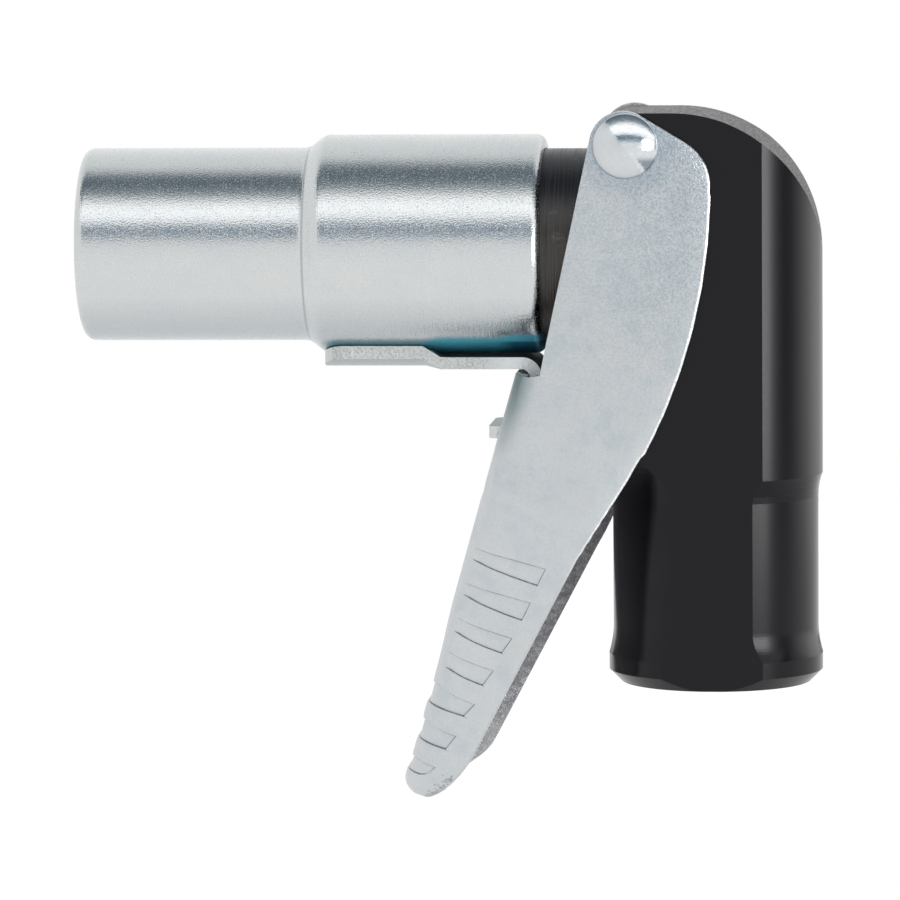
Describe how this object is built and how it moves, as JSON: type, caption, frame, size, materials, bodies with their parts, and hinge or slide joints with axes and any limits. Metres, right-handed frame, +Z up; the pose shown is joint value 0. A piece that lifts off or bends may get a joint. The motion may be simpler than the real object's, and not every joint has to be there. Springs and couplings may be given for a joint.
{
  "type": "locking tire air chuck",
  "caption": "Right-angle locking tire air chuck: a squeeze lever draws back a sprung sleeve that frees jaws on the tire valve stem; threaded inlet below.",
  "frame": {"origin": "centre of the threaded inlet's mouth, on the body's axis", "axes": "+Z up the body along the inlet's axis, -X along the barrel toward the nose and the tire valve, Y across the two flats along the lever's rivet"},
  "size_m": [0.0759, 0.0252, 0.0713],
  "materials": {
    "black_anodised": "satin black anodised",
    "dark_steel": "turned, phosphate dark",
    "zinc_turned": "zinc plated, fine turning lines",
    "zinc_strap": "zinc plated strip",
    "zinc_sheet": "zinc plated, matte grained sheet",
    "polished_rivet": "polished dome",
    "hard_steel": "hardened, ground",
    "spring_steel": "drawn wire",
    "black_ring": "black oxide",
    "brass": "turned",
    "rubber": "moulded"
  },
  "bodies": {
    "root": {"body": "black_anodised", "barrel": "dark_steel", "barrel_seal": "rubber", "nose_washer": "zinc_strap", "retaining_ring": "black_ring", "expander_ring": "spring_steel", "valve_seal": "rubber", "spring_plug": "brass", "sleeve_spring": "spring_steel", "poppet_spring": "spring_steel"},
    "sleeve": {"lock_sleeve": "zinc_turned", "cam_ring": "hard_steel", "hook_strap": "zinc_strap"},
    "lever": {"lever": "zinc_sheet", "pivot_rivet": "polished_rivet"},
    "jaw_1": {"jaw_1": "hard_steel"},
    "jaw_2": {"jaw_2": "hard_steel"},
    "jaw_3": {"jaw_3": "hard_steel"},
    "poppet": {"poppet": "brass", "poppet_seal": "rubber"}
  },
  "joints": [
    {"name": "lever_pivot", "type": "hinge", "parent": "root", "child": "lever", "pos_m": [-0.0085, 0, 0.0555], "axis": [0, -1, 0], "range_deg": [0, 7], "stiffness_Nm_per_rad": 0.49, "springref_deg": -18.91},
    {"name": "sleeve_slide", "type": "slide", "parent": "root", "child": "sleeve", "axis": [1, 0, 0], "range_m": [0, 0.00375], "deforming": ["sleeve_spring"]},
    {"name": "jaw_1_slide", "type": "slide", "parent": "root", "child": "jaw_1", "axis": [0, 0, 1], "range_m": [0, 0.00046]},
    {"name": "jaw_2_slide", "type": "slide", "parent": "root", "child": "jaw_2", "axis": [0, 0.866, -0.5], "range_m": [0, 0.00046]},
    {"name": "jaw_3_slide", "type": "slide", "parent": "root", "child": "jaw_3", "axis": [0, -0.866, -0.5], "range_m": [0, 0.00046]},
    {"name": "poppet_slide", "type": "slide", "parent": "root", "child": "poppet", "axis": [1, 0, 0], "range_m": [0, 0.0015], "stiffness_N_per_m": 800, "springref_m": -0.001, "deforming": ["poppet_spring"]}
  ],
  "couplings": [
    {"joint": "sleeve_slide", "follows": "lever_pivot", "m_per_rad": 0.0305},
    {"joint": "jaw_1_slide", "follows": "lever_pivot", "m_per_rad": 0.00366},
    {"joint": "jaw_2_slide", "follows": "lever_pivot", "m_per_rad": 0.00366},
    {"joint": "jaw_3_slide", "follows": "lever_pivot", "m_per_rad": 0.00366}
  ]
}
